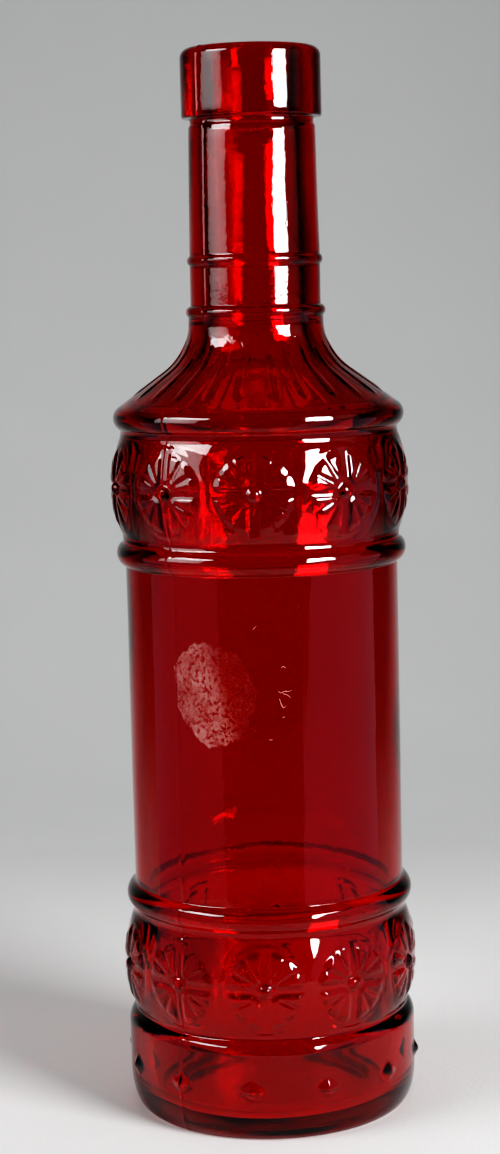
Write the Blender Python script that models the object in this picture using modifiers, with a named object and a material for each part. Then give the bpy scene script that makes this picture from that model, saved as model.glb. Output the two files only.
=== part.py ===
"""Moulded ruby glass bottle with medallion bands, ribbed shoulder and studded heel.

Units are metres, +Z is up, and the origin is the centre of the bearing face.
The glass is one turned shell with raised decoration; a patch of dried label
gum lies on the front of its plain panel.
"""

import bmesh
import bpy
import math
from mathutils import Matrix, Vector

# ---------------------------------------------------------------- driving dimensions
PANEL_RADIUS = 0.03315        # outside radius of the plain body panel
WALL = 0.0031                 # glass thickness of the body
FLOOR_THICKNESS = 0.0045      # glass between the cavity and the bearing face
INNER_CORNER_RADIUS = 0.0042  # rounding between the cavity's wall and its floor

HEEL_RISE = 0.00235           # how far the studded heel stands over the panel
HEEL_HEIGHT = 0.0248          # bearing face to the groove above the heel
HEEL_EDGE_RADIUS = 0.0036     # rounding of the heel's top edge
HEEL_GROOVE_WIDTH = 0.0004    # flat bottom of the groove above the heel
BASE_EDGE_WIDTH = 0.0032      # how far the base edge turns in
BASE_EDGE_HEIGHT = 0.0090     # how high the base edge starts to turn in
BEARING_WIDTH = 0.0083        # flat ring that the bottle stands on
PUSH_UP_DEPTH = 0.0012        # shallow hollow inside that ring
PUSH_UP_SLOPE = 0.0024        # width over which the hollow reaches its depth

GROOVE_RISE = 0.0004          # grooves beside the bands stand this far over the panel
BAND_HEIGHT = 0.0244          # each medallion band, groove to groove
BAND_SWELL = 0.0024           # how far a band bulges out of its grooves
RING_OFFSET = 0.0041          # groove to the centre of the ring beside it
RING_TUBE = 0.0033            # radius of a body ring's rounded section
RING_RISE = 0.0021            # how far a body ring stands over the panel
PANEL_SPAN = 0.0845           # distance between the rings above and below the panel

SHOULDER_HEIGHT = 0.0229      # top ring's centre to the foot of the neck
FLARE_RADIUS = 0.0148         # concave curve between neck and shoulder cone
CONE_FOOT_ANGLE = math.radians(50)   # where the shoulder cone meets the top ring's section

NECK_RADIUS = 0.01570         # outside of the neck, between its two beads
NECK_WALL = 0.0044            # glass thickness of the neck
NECK_FOOT_SPREAD = 0.00055    # how far the neck widens to its foot
NECK_DRAFT = 0.0005           # how far the neck narrows to its top
NECK_LENGTH = 0.0478          # foot of the neck to the underside of the lip
BEAD_TUBE = 0.0015            # radius of a neck bead's rounded section
BEAD_RISE = 0.0006            # how far a bead stands over the neck
LOWER_BEAD_HEIGHT = 0.0021    # above the foot of the neck
BEAD_SPACING = 0.0122         # lower bead to upper bead
RECESS_DEPTH = 0.0009         # undercut below the lip
RECESS_HEIGHT = 0.0014
RECESS_SLOPE = 0.0007         # height over which the undercut runs out

LIP_RISE = 0.0011             # how far the lip stands over the neck
LIP_HEIGHT = 0.0165
LIP_EDGE_RADIUS = 0.0022
MOUTH_BORE = 0.00975          # inside radius that a cork seats in
MOUTH_EDGE_RADIUS = 0.0012
MOUTH_TAPER = 0.0040          # height over which the mouth opens into the neck bore

RIB_COUNT = 24
RIB_RADIUS = 0.0016           # radius of a rib's round section
RIB_RISE = 0.00045            # how far a rib stands out of the shoulder
RIB_START = 0.0035            # below the foot of the neck
RIB_FOOT = 0.0059             # lower end of a rib, above the top ring's centre

MEDALLION_COUNT = 10          # in each band
BOSS_RADIUS = 0.0016
BOSS_RISE = 0.0008
PETAL_DISTANCE = 0.0071       # medallion centre to petal centre
PETAL_HALF_LENGTH = 0.0036
PETAL_HALF_WIDTH = 0.0026
PETAL_RISE = 0.0005

STUD_COUNT = 12
STUD_HEIGHT = 0.0126          # stud centre above the bearing face
STUD_HALF_WIDTH = 0.0037
STUD_HALF_HEIGHT = 0.0025
STUD_RISE = 0.0012

SEAM_ANGLE = math.radians(-128.5)   # mould seam, where every pattern starts

GUM_ANGLE = math.radians(-111.6)    # centre of the gum patch around the panel
GUM_RISE = 0.0541                   # its centre above the ring at the panel's foot
GUM_HALF_WIDTH = 0.0102
GUM_HALF_HEIGHT = 0.0122
GUM_THICKNESS = 0.0002

CONTACT_GAP = 0.0003          # kept between the glass and what lies on it
SINK = 0.0005                 # how far raised decoration reaches into the glass
MERGE = 0.00001               # distance below which two points are one

# ---------------------------------------------------------------- facets
TURN_STEPS = 40               # around the bottle
BAND_STEPS = 6                # down a swelling band
RING_STEPS = 5                # around a body ring's section
FLARE_STEPS = 5               # down the shoulder's flare
EDGE_STEPS = 3                # around a small bead or a rounded edge

# ---------------------------------------------------------------- heights, base upwards
Z_HEEL_GROOVE = HEEL_HEIGHT
Z_LOW_BAND = Z_HEEL_GROOVE + BAND_HEIGHT / 2
Z_LOW_BAND_TOP = Z_HEEL_GROOVE + BAND_HEIGHT
Z_PANEL_FOOT_RING = Z_LOW_BAND_TOP + RING_OFFSET
Z_GUM = Z_PANEL_FOOT_RING + GUM_RISE
Z_PANEL_HEAD_RING = Z_PANEL_FOOT_RING + PANEL_SPAN
Z_HIGH_BAND_FOOT = Z_PANEL_HEAD_RING + RING_OFFSET
Z_HIGH_BAND = Z_HIGH_BAND_FOOT + BAND_HEIGHT / 2
Z_HIGH_BAND_TOP = Z_HIGH_BAND_FOOT + BAND_HEIGHT
Z_SHOULDER_RING = Z_HIGH_BAND_TOP + RING_OFFSET
Z_NECK_FOOT = Z_SHOULDER_RING + SHOULDER_HEIGHT
Z_LOW_BEAD = Z_NECK_FOOT + LOWER_BEAD_HEIGHT
Z_HIGH_BEAD = Z_LOW_BEAD + BEAD_SPACING
Z_LIP = Z_NECK_FOOT + NECK_LENGTH
Z_TOP = Z_LIP + LIP_HEIGHT

# ---------------------------------------------------------------- radii, from the panel and the neck
GROOVE_RADIUS = PANEL_RADIUS + GROOVE_RISE
BAND_RADIUS = GROOVE_RADIUS + BAND_SWELL
RING_RADIUS = PANEL_RADIUS + RING_RISE
HEEL_RADIUS = PANEL_RADIUS + HEEL_RISE
BEARING_RADIUS = HEEL_RADIUS - BASE_EDGE_WIDTH
PUSH_UP_RADIUS = BEARING_RADIUS - BEARING_WIDTH
CAVITY_RADIUS = PANEL_RADIUS - WALL
NECK_FOOT_RADIUS = NECK_RADIUS + NECK_FOOT_SPREAD
NECK_TOP_RADIUS = NECK_RADIUS - NECK_DRAFT
NECK_BORE = NECK_RADIUS - NECK_WALL
RECESS_RADIUS = NECK_RADIUS - RECESS_DEPTH
LIP_RADIUS = NECK_RADIUS + LIP_RISE
FLARE_CENTRE = (NECK_FOOT_RADIUS + FLARE_RADIUS, Z_NECK_FOOT)


# ---------------------------------------------------------------- outline helpers
def arc(centre, radius, start, end, steps):
    """Points on a circle about centre (r, z), angles in radians from +r towards +z."""
    points = []
    for i in range(steps + 1):
        a = start + (end - start) * i / steps
        points.append((centre[0] + radius * math.cos(a), centre[1] + radius * math.sin(a)))
    return points


def bead(z, crest, tube, wall_above, wall_below, steps):
    """Rounded ring, top to bottom, between the walls that it stands on."""
    centre = crest - tube
    start = math.acos(min(1.0, max(-1.0, (wall_above - centre) / tube)))
    end = -math.acos(min(1.0, max(-1.0, (wall_below - centre) / tube)))
    return arc((centre, z), tube, start, end, steps)


def band(z, steps):
    """Swelling band, top to bottom: one shallow arc from groove to groove."""
    half = BAND_HEIGHT / 2
    radius = (half * half + BAND_SWELL * BAND_SWELL) / (2 * BAND_SWELL)
    reach = math.asin(half / radius)
    return arc((BAND_RADIUS - radius, z), radius, reach, -reach, steps)


def band_surface(dz):
    """Outside radius and slope of a band at a height dz from its middle."""
    half = BAND_HEIGHT / 2
    radius = (half * half + BAND_SWELL * BAND_SWELL) / (2 * BAND_SWELL)
    lean = math.asin(dz / radius)
    return BAND_RADIUS - radius + radius * math.cos(lean), lean


def flare_angle():
    """Angle of the shoulder cone: the line from the top ring that touches the flare."""
    dr = FLARE_CENTRE[0] - (RING_RADIUS - RING_TUBE * (1 - math.cos(CONE_FOOT_ANGLE)))
    dz = FLARE_CENTRE[1] - (Z_SHOULDER_RING + RING_TUBE * math.sin(CONE_FOOT_ANGLE))
    return math.atan2(-dr, dz) + math.asin(FLARE_RADIUS / math.hypot(dr, dz))


def flare(steps):
    """Concave flare from the foot of the neck down to where the cone begins."""
    return arc(FLARE_CENTRE, FLARE_RADIUS, math.pi, math.pi + flare_angle(), steps)


def outer_outline():
    """Outside of the glass, from the mouth's rim down to the centre of the base."""
    points = arc((LIP_RADIUS - LIP_EDGE_RADIUS, Z_TOP - LIP_EDGE_RADIUS), LIP_EDGE_RADIUS,
                 math.pi / 2, 0, EDGE_STEPS)
    points.append((LIP_RADIUS, Z_LIP))
    points.append((RECESS_RADIUS, Z_LIP))
    points.append((RECESS_RADIUS, Z_LIP - RECESS_HEIGHT))
    points.append((NECK_TOP_RADIUS, Z_LIP - RECESS_HEIGHT - RECESS_SLOPE))
    points += bead(Z_HIGH_BEAD, NECK_RADIUS + BEAD_RISE, BEAD_TUBE, NECK_RADIUS, NECK_RADIUS,
                   EDGE_STEPS)
    points += bead(Z_LOW_BEAD, NECK_FOOT_RADIUS + BEAD_RISE, BEAD_TUBE,
                   NECK_RADIUS, NECK_FOOT_RADIUS, EDGE_STEPS)
    points += flare(FLARE_STEPS)
    ring_centre = RING_RADIUS - RING_TUBE
    ring_end = -math.acos((GROOVE_RADIUS - ring_centre) / RING_TUBE)
    points += arc((ring_centre, Z_SHOULDER_RING), RING_TUBE, CONE_FOOT_ANGLE, ring_end,
                  RING_STEPS - 1)
    points += band(Z_HIGH_BAND, BAND_STEPS)
    points += bead(Z_PANEL_HEAD_RING, RING_RADIUS, RING_TUBE, GROOVE_RADIUS, PANEL_RADIUS,
                   RING_STEPS)
    points += bead(Z_PANEL_FOOT_RING, RING_RADIUS, RING_TUBE, PANEL_RADIUS, GROOVE_RADIUS,
                   RING_STEPS)
    points += band(Z_LOW_BAND, BAND_STEPS)
    heel_centre = HEEL_RADIUS - HEEL_EDGE_RADIUS
    heel_start = math.acos((GROOVE_RADIUS - heel_centre) / HEEL_EDGE_RADIUS)
    heel_drop = HEEL_GROOVE_WIDTH + HEEL_EDGE_RADIUS * math.sin(heel_start)
    points += arc((heel_centre, Z_HEEL_GROOVE - heel_drop), HEEL_EDGE_RADIUS, heel_start, 0,
                  EDGE_STEPS)
    for i in range(RING_STEPS):
        a = math.pi / 2 * i / (RING_STEPS - 1)
        points.append((HEEL_RADIUS - BASE_EDGE_WIDTH * (1 - math.cos(a)),
                       BASE_EDGE_HEIGHT * (1 - math.sin(a))))
    points.append((PUSH_UP_RADIUS, 0.0))
    points.append((PUSH_UP_RADIUS - PUSH_UP_SLOPE, PUSH_UP_DEPTH))
    points.append((0.0, PUSH_UP_DEPTH))
    return points


def inner_outline():
    """Inside of the glass, from the centre of the floor up to the mouth's rim."""
    corner = (CAVITY_RADIUS - INNER_CORNER_RADIUS, FLOOR_THICKNESS + INNER_CORNER_RADIUS)
    points = [(0.0, FLOOR_THICKNESS)]
    points += arc(corner, INNER_CORNER_RADIUS, -math.pi / 2, 0, EDGE_STEPS)
    # the inner cone is parallel to the outer one and touches a flare that ends in the neck bore
    angle = flare_angle()
    inner_flare = FLARE_CENTRE[0] - NECK_BORE
    cone_top = FLARE_CENTRE[0] - inner_flare * math.cos(angle)
    drop = (CAVITY_RADIUS - cone_top) / math.tan(angle)
    points.append((CAVITY_RADIUS, Z_NECK_FOOT - inner_flare * math.sin(angle) - drop))
    points += arc(FLARE_CENTRE, inner_flare, math.pi + angle, math.pi, FLARE_STEPS - 1)
    points.append((NECK_BORE, Z_LIP - MOUTH_TAPER))
    points.append((MOUTH_BORE, Z_LIP))
    points += arc((MOUTH_BORE + MOUTH_EDGE_RADIUS, Z_TOP - MOUTH_EDGE_RADIUS), MOUTH_EDGE_RADIUS,
                  math.pi, math.pi / 2, EDGE_STEPS - 1)
    return points


# ---------------------------------------------------------------- scene helpers
def clear_scene():
    """Remove every object of the scene that the script starts in."""
    for item in list(bpy.data.objects):
        bpy.data.objects.remove(item, do_unlink=True)


def new_collection(name):
    """Collection linked to the scene."""
    collection = bpy.data.collections.new(name)
    bpy.context.scene.collection.children.link(collection)
    return collection


def new_object(name, mesh, collection):
    """Object for a mesh, linked to one collection."""
    item = bpy.data.objects.new(name, mesh)
    collection.objects.link(item)
    return item


def material(name, colour, roughness, transmission, ior):
    """Principled material of one finish."""
    finish = bpy.data.materials.new(name)
    finish.use_nodes = True
    shader = finish.node_tree.nodes["Principled BSDF"]
    shader.inputs["Base Color"].default_value = (*colour, 1.0)
    shader.inputs["Roughness"].default_value = roughness
    shader.inputs["Metallic"].default_value = 0.0
    shader.inputs["Transmission Weight"].default_value = transmission
    shader.inputs["IOR"].default_value = ior
    finish.diffuse_color = (*colour, 1.0)
    return finish


def turned(name, outline, collection):
    """Solid of revolution from an (r, z) outline, by a Screw modifier about Z."""
    mesh = bpy.data.meshes.new(name)
    edges = [(i, i + 1) for i in range(len(outline) - 1)]
    mesh.from_pydata([(r, 0.0, z) for r, z in outline], edges, [])
    item = new_object(name, mesh, collection)
    screw = item.modifiers.new("turn", "SCREW")
    screw.axis = "Z"
    screw.angle = 2 * math.pi
    screw.steps = TURN_STEPS
    screw.render_steps = TURN_STEPS
    screw.use_merge_vertices = True
    screw.merge_threshold = MERGE
    screw.use_smooth_shade = True
    return item


def as_cutter(item):
    """Mark an object as a cutter: hidden in renders and drawn as wire."""
    item.hide_render = True
    item.display_type = "WIRE"


def combine(item, other, operation):
    """Exact Boolean of an object with a cutter."""
    step = item.modifiers.new(operation.lower(), "BOOLEAN")
    step.operation = operation
    step.solver = "EXACT"
    step.object = other


def placed(angle, radius, z, lean=0.0):
    """Frame on the glass: X runs around the bottle, Y up its side and Z out of it."""
    upright = Matrix.Rotation(math.pi / 2, 4, "Z") @ Matrix.Rotation(math.pi / 2 - lean, 4, "X")
    return Matrix.Rotation(angle, 4, "Z") @ Matrix.Translation((radius, 0, z)) @ upright


# ---------------------------------------------------------------- raised decoration
def add_diamond(mesh, frame, half_width, half_height, rise):
    """Four-sided pyramid on a straight skirt that reaches into the glass."""
    size = Matrix.Diagonal((half_width, half_height, rise, 1))
    middle = Matrix.Translation((0, 0, rise / 2))
    made = bmesh.ops.create_cone(mesh, cap_ends=True, cap_tris=False, segments=4, radius1=1,
                                 radius2=0, depth=1, matrix=frame @ middle @ size)
    foot = [f for f in {f for v in made["verts"] for f in v.link_faces} if len(f.verts) == 4]
    skirt = bmesh.ops.extrude_face_region(mesh, geom=foot)
    moved = [item for item in skirt["geom"] if isinstance(item, bmesh.types.BMVert)]
    inwards = frame.to_3x3() @ Vector((0, 0, -SINK))
    bmesh.ops.translate(mesh, vec=inwards, verts=moved)
    bmesh.ops.delete(mesh, geom=[f for f in foot if f.is_valid], context="FACES_ONLY")


def add_medallions(mesh, z):
    """One band's medallions: a round boss with four pointed petals about it."""
    for i in range(MEDALLION_COUNT):
        angle = SEAM_ANGLE + 2 * math.pi * i / MEDALLION_COUNT
        boss_centre = BAND_RADIUS + BOSS_RISE - BOSS_RADIUS
        frame = placed(angle, boss_centre, z)
        bmesh.ops.create_uvsphere(mesh, u_segments=8, v_segments=4, radius=BOSS_RADIUS,
                                  matrix=frame)
        for quarter in range(4):
            turn = math.pi / 4 + quarter * math.pi / 2
            across = PETAL_DISTANCE * math.cos(turn)
            up = PETAL_DISTANCE * math.sin(turn)
            radius, lean = band_surface(up)
            petal = placed(angle + across / BAND_RADIUS, radius, z + up, lean)
            add_diamond(mesh, petal @ Matrix.Rotation(turn, 4, "Z"),
                        PETAL_HALF_LENGTH, PETAL_HALF_WIDTH, PETAL_RISE)


def add_studs(mesh):
    """Diamond studs around the heel."""
    for i in range(STUD_COUNT):
        angle = SEAM_ANGLE + 2 * math.pi * i / STUD_COUNT
        add_diamond(mesh, placed(angle, HEEL_RADIUS, STUD_HEIGHT), STUD_HALF_WIDTH,
                    STUD_HALF_HEIGHT, STUD_RISE)


def rib_path():
    """Points along one shoulder rib in the (r, z) plane, a rib's depth inside the flare."""
    angle = flare_angle()
    inset = RIB_RADIUS - RIB_RISE
    start = math.asin(RIB_START / FLARE_RADIUS)
    points = arc(FLARE_CENTRE, FLARE_RADIUS + inset, math.pi + start, math.pi + angle,
                 FLARE_STEPS - 1)
    last = points[-1]
    length = (last[1] - (Z_SHOULDER_RING + RIB_FOOT)) / math.cos(angle)
    points.append((last[0] + length * math.sin(angle), last[1] - length * math.cos(angle)))
    return points


def add_ribs(mesh, collection):
    """Half-sunk round ribs down the shoulder, each a bevelled curve made into a mesh."""
    curve = bpy.data.curves.new("rib", "CURVE")
    curve.dimensions = "3D"
    curve.bevel_depth = RIB_RADIUS
    curve.bevel_resolution = 1
    curve.use_fill_caps = True
    spline = curve.splines.new("POLY")
    path = rib_path()
    spline.points.add(len(path) - 1)
    for point, (r, z) in zip(spline.points, path):
        point.co = (r, 0.0, z, 1.0)
    guide = new_object("rib", curve, collection)
    evaluated = guide.evaluated_get(bpy.context.evaluated_depsgraph_get())
    rib = bpy.data.meshes.new_from_object(evaluated)
    bpy.data.objects.remove(guide, do_unlink=True)
    for i in range(RIB_COUNT):
        angle = SEAM_ANGLE + 2 * math.pi * i / RIB_COUNT
        copy = bmesh.new()
        copy.from_mesh(rib)
        bmesh.ops.remove_doubles(copy, verts=copy.verts, dist=MERGE)
        bmesh.ops.transform(copy, matrix=Matrix.Rotation(angle, 4, "Z"), verts=copy.verts)
        turned_rib = bpy.data.meshes.new("turned_rib")
        copy.to_mesh(turned_rib)
        copy.free()
        mesh.from_mesh(turned_rib)


def decoration(collection):
    """Everything that stands proud of the turned glass, as one cutter."""
    mesh = bmesh.new()
    add_ribs(mesh, collection)
    add_medallions(mesh, Z_HIGH_BAND)
    add_medallions(mesh, Z_LOW_BAND)
    add_studs(mesh)
    bmesh.ops.recalc_face_normals(mesh, faces=mesh.faces)
    relief = bpy.data.meshes.new("decoration")
    mesh.to_mesh(relief)
    mesh.free()
    item = new_object("decoration", relief, collection)
    as_cutter(item)
    return item


# ---------------------------------------------------------------- the pieces
def bottle_glass(parts, cutters):
    """The bottle itself: turned shell, open at the mouth, with its raised decoration."""
    item = turned("bottle_glass", inner_outline() + outer_outline(), parts)
    combine(item, decoration(cutters), "UNION")
    item.data.materials.append(material("ruby_glass", (0.36, 0.004, 0.008), 0.02, 1.0, 1.52))
    return item


def label_residue(parts, cutters):
    """Oval film of dried label gum, bent around the panel and clear of the glass."""
    inside = PANEL_RADIUS + CONTACT_GAP
    outside = inside + GUM_THICKNESS
    low = Z_GUM - GUM_HALF_HEIGHT - GUM_THICKNESS
    high = Z_GUM + GUM_HALF_HEIGHT + GUM_THICKNESS
    sleeve = [(outside, high), (outside, low), (inside, low), (inside, high), (outside, high)]
    item = turned("label_residue", sleeve, parts)
    oval = bmesh.new()
    direction = placed(GUM_ANGLE, PANEL_RADIUS, Z_GUM)
    bmesh.ops.create_cone(oval, cap_ends=True, segments=24, radius1=1, radius2=1, depth=1,
                          matrix=direction @ Matrix.Diagonal(
                              (GUM_HALF_WIDTH, GUM_HALF_HEIGHT, PANEL_RADIUS, 1)))
    mesh = bpy.data.meshes.new("gum_oval")
    oval.to_mesh(mesh)
    oval.free()
    punch = new_object("gum_oval", mesh, cutters)
    as_cutter(punch)
    combine(item, punch, "INTERSECT")
    item.data.materials.append(material("dried_gum", (0.72, 0.45, 0.42), 0.75, 0.0, 1.45))
    return item


def main():
    """Build the bottle in its own collection, with the cutters apart."""
    clear_scene()
    parts = new_collection("ruby_glass_bottle")
    cutters = new_collection("cutters")
    bottle_glass(parts, cutters)
    label_residue(parts, cutters)


main()
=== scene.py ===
"""Fine surfaces and finishes of a moulded ruby glass bottle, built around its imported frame.

Units are metres, +Z is up and -Y is the front. The glass is one closed surface worked out
with numpy: a turned outline, with the moulded relief laid along its outward normals.
"""

import logging
from dataclasses import dataclass, field
from enum import Enum
from typing import Callable

import bpy
import numpy as np
from mathutils import Matrix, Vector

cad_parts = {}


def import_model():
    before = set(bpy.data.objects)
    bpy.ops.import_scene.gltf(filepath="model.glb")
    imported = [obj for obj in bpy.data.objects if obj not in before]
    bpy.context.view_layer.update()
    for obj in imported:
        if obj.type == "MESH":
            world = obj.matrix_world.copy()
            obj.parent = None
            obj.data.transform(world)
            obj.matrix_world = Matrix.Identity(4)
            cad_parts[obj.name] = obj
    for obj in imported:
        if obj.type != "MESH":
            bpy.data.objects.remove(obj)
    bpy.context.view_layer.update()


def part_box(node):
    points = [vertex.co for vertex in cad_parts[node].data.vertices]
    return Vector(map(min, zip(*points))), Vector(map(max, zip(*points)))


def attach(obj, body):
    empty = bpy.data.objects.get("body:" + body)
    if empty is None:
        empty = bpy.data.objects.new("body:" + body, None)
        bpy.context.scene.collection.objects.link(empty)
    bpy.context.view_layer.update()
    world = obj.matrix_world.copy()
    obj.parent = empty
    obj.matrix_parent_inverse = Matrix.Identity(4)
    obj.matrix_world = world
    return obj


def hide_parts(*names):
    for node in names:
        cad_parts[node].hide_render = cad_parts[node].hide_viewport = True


LOG = logging.getLogger("bottle")
TAU = 2.0 * np.pi
MILLIMETRE = 0.001
NARROW = np.radians(75.0)
COMBINED_CURVE = 3

Array = np.ndarray


# ---------------------------------------------------------------- shapes of curves
def arc(centre: tuple[float, float], radius: float, start: float, end: float, count: int) -> Array:
    """Points on a circle in the (r, z) plane: centre + radius * (cos a, sin a).

    Args:
        centre: the circle's centre as (r, z).
        radius: its radius.
        start: first angle in radians, from +r towards +z.
        end: last angle.
        count: number of points, both ends included.

    Returns:
        An array of (r, z) rows.
    """
    a = np.linspace(start, end, count)
    return np.column_stack((centre[0] + radius * np.cos(a), centre[1] + radius * np.sin(a)))


def line(start: tuple[float, float], end: tuple[float, float], count: int) -> Array:
    """Evenly spaced points of a straight run, both ends included."""
    return np.linspace(np.asarray(start, float), np.asarray(end, float), count)


def smooth(low: float, high: float, x: Array) -> Array:
    """Rise from 0 at low to 1 at high along the cubic 3t^2 - 2t^3."""
    t = np.clip((x - low) / (high - low), 0.0, 1.0)
    return t * t * (3.0 - 2.0 * t)


@dataclass(frozen=True)
class Wave:
    """One slow wave over a turned surface.

    Attributes:
        turns: how many times it repeats around the axis.
        phase: where it starts, in radians.
        climb: how fast it winds up the axis, in radians per metre.
        share: its height beside the other waves.
    """

    turns: int
    phase: float = 0.0
    climb: float = 0.0
    share: float = 1.0

    def height(self, angle: Array, z: Array) -> Array:
        """Height of the wave: share * cos(turns * angle + phase + climb * z)."""
        return self.share * np.cos(self.turns * angle + self.phase + self.climb * z)


class Columns(Enum):
    """How many columns a stretch of the glass has around the axis."""

    PLAIN = 160
    RELIEF = 480


@dataclass
class Stretch:
    """One stretch of the outline, with its own column count and relief.

    Attributes:
        name: what the stretch is on the bottle.
        points: (r, z) rows, the next stretch starting after the last of them.
        columns: columns around the axis.
        relief: height over the turned surface as a function of (angle, z), or None.
    """

    name: str
    points: Array
    columns: Columns = Columns.PLAIN
    relief: Callable[[Array, Array], Array] | None = None


# ---------------------------------------------------------------- the outline
@dataclass(frozen=True)
class Outline:
    """Turned outline of the glass, worked out from a chain of heights above the base.

    A "rise" is how far something stands out from the panel or the neck, a "tube" is the radius
    of a ring's rounded section, and an "edge" is the radius of a rounded edge.
    """

    panel_radius: float = 0.03315
    wall: float = 0.0031
    floor: float = 0.0045
    inner_corner: float = 0.0042
    heel_rise: float = 0.00235
    heel_height: float = 0.0248
    heel_edge: float = 0.0036
    heel_groove: float = 0.0004
    heel_blend: float = 0.0016
    base_edge_width: float = 0.0032
    base_edge_height: float = 0.0090
    bearing_width: float = 0.0083
    push_up_depth: float = 0.0012
    push_up_slope: float = 0.0024
    groove_rise: float = 0.0004
    band_height: float = 0.0244
    band_swell: float = 0.0024
    ring_offset: float = 0.0041
    ring_tube: float = 0.0033
    ring_rise: float = 0.0021
    panel_span: float = 0.0845
    shoulder_height: float = 0.0229
    flare_radius: float = 0.0148
    flare_start: float = 0.12
    cone_foot: float = np.radians(50.0)
    neck_radius: float = 0.01570
    neck_wall: float = 0.0044
    neck_foot_spread: float = 0.00055
    neck_draft: float = 0.0005
    neck_length: float = 0.0478
    bead_tube: float = 0.0015
    bead_rise: float = 0.0006
    bead_clearance: float = 1.2
    lower_bead: float = 0.0021
    bead_spacing: float = 0.0122
    recess_depth: float = 0.0009
    recess_height: float = 0.0014
    recess_slope: float = 0.0007
    lip_rise: float = 0.0011
    lip_edge: float = 0.0022
    mouth_bore: float = 0.00975
    mouth_edge: float = 0.0012
    mouth_taper: float = 0.0040
    top: float = 0.2576

    # heights, base upwards
    @property
    def low_band(self) -> float:
        """Middle of the lower medallion band."""
        return self.heel_height + self.band_height / 2

    @property
    def foot_ring(self) -> float:
        """Centre of the ring at the foot of the plain panel."""
        return self.heel_height + self.band_height + self.ring_offset

    @property
    def head_ring(self) -> float:
        """Centre of the ring at the head of the plain panel."""
        return self.foot_ring + self.panel_span

    @property
    def high_band(self) -> float:
        """Middle of the upper medallion band."""
        return self.head_ring + self.ring_offset + self.band_height / 2

    @property
    def shoulder_ring(self) -> float:
        """Centre of the ring at the foot of the shoulder."""
        return self.high_band + self.band_height / 2 + self.ring_offset

    @property
    def neck_foot(self) -> float:
        """Height where the shoulder's flare turns into the neck."""
        return self.shoulder_ring + self.shoulder_height

    @property
    def lip_foot(self) -> float:
        """Underside of the lip."""
        return self.neck_foot + self.neck_length

    # radii
    @property
    def groove_radius(self) -> float:
        """Radius in the grooves beside the bands."""
        return self.panel_radius + self.groove_rise

    @property
    def ring_radius(self) -> float:
        """Crest radius of the body rings."""
        return self.panel_radius + self.ring_rise

    @property
    def heel_radius(self) -> float:
        """Radius of the studded heel."""
        return self.panel_radius + self.heel_rise

    @property
    def band_radius(self) -> float:
        """Crest radius of the medallion bands."""
        return self.groove_radius + self.band_swell

    @property
    def cavity_radius(self) -> float:
        """Inside radius of the body."""
        return self.panel_radius - self.wall

    @property
    def neck_foot_radius(self) -> float:
        """Outside radius at the foot of the neck."""
        return self.neck_radius + self.neck_foot_spread

    @property
    def neck_bore(self) -> float:
        """Inside radius of the neck."""
        return self.neck_radius - self.neck_wall

    @property
    def flare_centre(self) -> tuple[float, float]:
        """Centre of the shoulder's concave flare, outside the glass."""
        return (self.neck_foot_radius + self.flare_radius, self.neck_foot)

    @property
    def cone_angle(self) -> float:
        """Angle of the shoulder cone: the line from the top ring that touches the flare.

        Returns:
            The cone's angle from the axis, in radians.
        """
        foot_r = self.ring_radius - self.ring_tube * (1 - np.cos(self.cone_foot))
        foot_z = self.shoulder_ring + self.ring_tube * np.sin(self.cone_foot)
        dr = self.flare_centre[0] - foot_r
        dz = self.flare_centre[1] - foot_z
        return float(np.arctan2(-dr, dz) + np.arcsin(self.flare_radius / np.hypot(dr, dz)))

    def bead(self, z: float, crest: float, tube: float, above: float, below: float,
             count: int) -> Array:
        """Rounded ring, top to bottom, between the walls above and below it.

        Args:
            z: height of the ring's centre.
            crest: its largest radius.
            tube: radius of its rounded section.
            above: radius of the wall it rises from at its top.
            below: radius of the wall at its bottom.
            count: number of points.

        Returns:
            (r, z) rows on the circle about (crest - tube, z).
        """
        centre = crest - tube
        start = np.arccos(np.clip((above - centre) / tube, -1.0, 1.0))
        end = -np.arccos(np.clip((below - centre) / tube, -1.0, 1.0))
        return arc((centre, z), tube, start, end, count)

    def band(self, z: float, count: int) -> Array:
        """Swelling band, top to bottom: one shallow arc from groove to groove.

        The arc's radius is (half^2 + swell^2) / (2 * swell), half being half the band's height.

        Args:
            z: height of the band's middle.
            count: number of points.

        Returns:
            (r, z) rows.
        """
        half = self.band_height / 2
        radius = (half**2 + self.band_swell**2) / (2 * self.band_swell)
        reach = np.arcsin(half / radius)
        return arc((self.band_radius - radius, z), radius, reach, -reach, count)

    def inside(self) -> list[Stretch]:
        """Inside of the glass, from the centre of the floor up to the mouth.

        Returns:
            The stretches in order, each one starting where the last one ended.
        """
        corner = (self.cavity_radius - self.inner_corner, self.floor + self.inner_corner)
        angle = self.cone_angle
        flare = self.flare_centre[0] - self.neck_bore
        cone_top = (self.flare_centre[0] - flare * np.cos(angle),
                    self.neck_foot - flare * np.sin(angle))
        cone_foot = (self.cavity_radius,
                     cone_top[1] - (self.cavity_radius - cone_top[0]) / np.tan(angle))
        return [
            Stretch("inner_floor", line((0.0, self.floor), (corner[0], self.floor), 8)),
            Stretch("inner_corner", arc(corner, self.inner_corner, -np.pi / 2, 0, 7)[1:]),
            Stretch("inner_wall", line((self.cavity_radius, corner[1]), cone_foot, 24)[1:]),
            Stretch("inner_cone", line(cone_foot, cone_top, 5)[1:]),
            Stretch("inner_flare", arc(self.flare_centre, flare, np.pi + angle, np.pi, 8)[1:]),
            Stretch("neck_bore", line((self.neck_bore, self.neck_foot),
                                      (self.neck_bore, self.lip_foot - self.mouth_taper), 8)[1:]),
            Stretch("mouth", line((self.neck_bore, self.lip_foot - self.mouth_taper),
                                  (self.mouth_bore, self.lip_foot), 3)[1:]),
        ]

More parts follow.
